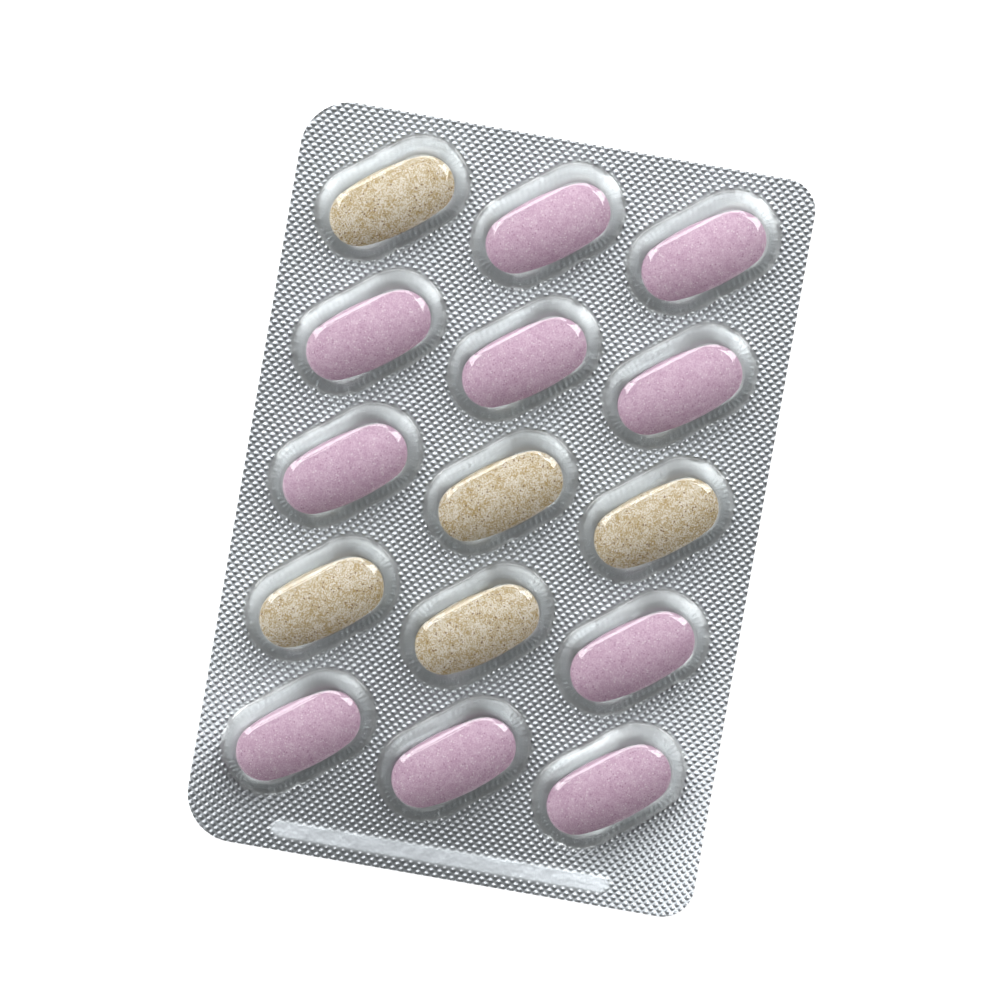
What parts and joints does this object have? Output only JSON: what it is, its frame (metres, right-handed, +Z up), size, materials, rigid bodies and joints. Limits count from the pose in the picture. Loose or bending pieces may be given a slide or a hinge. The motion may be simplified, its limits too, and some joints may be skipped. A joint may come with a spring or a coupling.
{
  "type": "blister pack of oblong tablets",
  "caption": "Clear film card with slanted pockets that each hold an oblong tablet, heat sealed to an aluminium push-through foil.",
  "frame": {"origin": "centre of the card on the underside of the foil, where it lies", "axes": "+X across the card, +Y along the card towards the first row of pockets, +Z up out of the pockets"},
  "size_m": [0.075, 0.1088, 0.0069],
  "materials": {
    "clear_film": "clear thermoformed film, glossy, knurled where it is sealed",
    "foil": "knurled aluminium foil",
    "pink_tablet": "pressed powder, mottled mauve pink",
    "tan_tablet": "pressed powder, tan with brown and cream specks"
  },
  "bodies": {
    "root": {"blister_film": "clear_film", "lidding_foil": "foil", "tablet_r1_c1": "tan_tablet", "tablet_r1_c2": "pink_tablet", "tablet_r1_c3": "pink_tablet", "tablet_r2_c1": "pink_tablet", "tablet_r2_c2": "pink_tablet", "tablet_r2_c3": "pink_tablet", "tablet_r3_c1": "pink_tablet", "tablet_r3_c2": "tan_tablet", "tablet_r3_c3": "tan_tablet", "tablet_r4_c1": "tan_tablet", "tablet_r4_c2": "tan_tablet", "tablet_r4_c3": "pink_tablet", "tablet_r5_c1": "pink_tablet", "tablet_r5_c2": "pink_tablet", "tablet_r5_c3": "pink_tablet"}
  },
  "joints": []
}
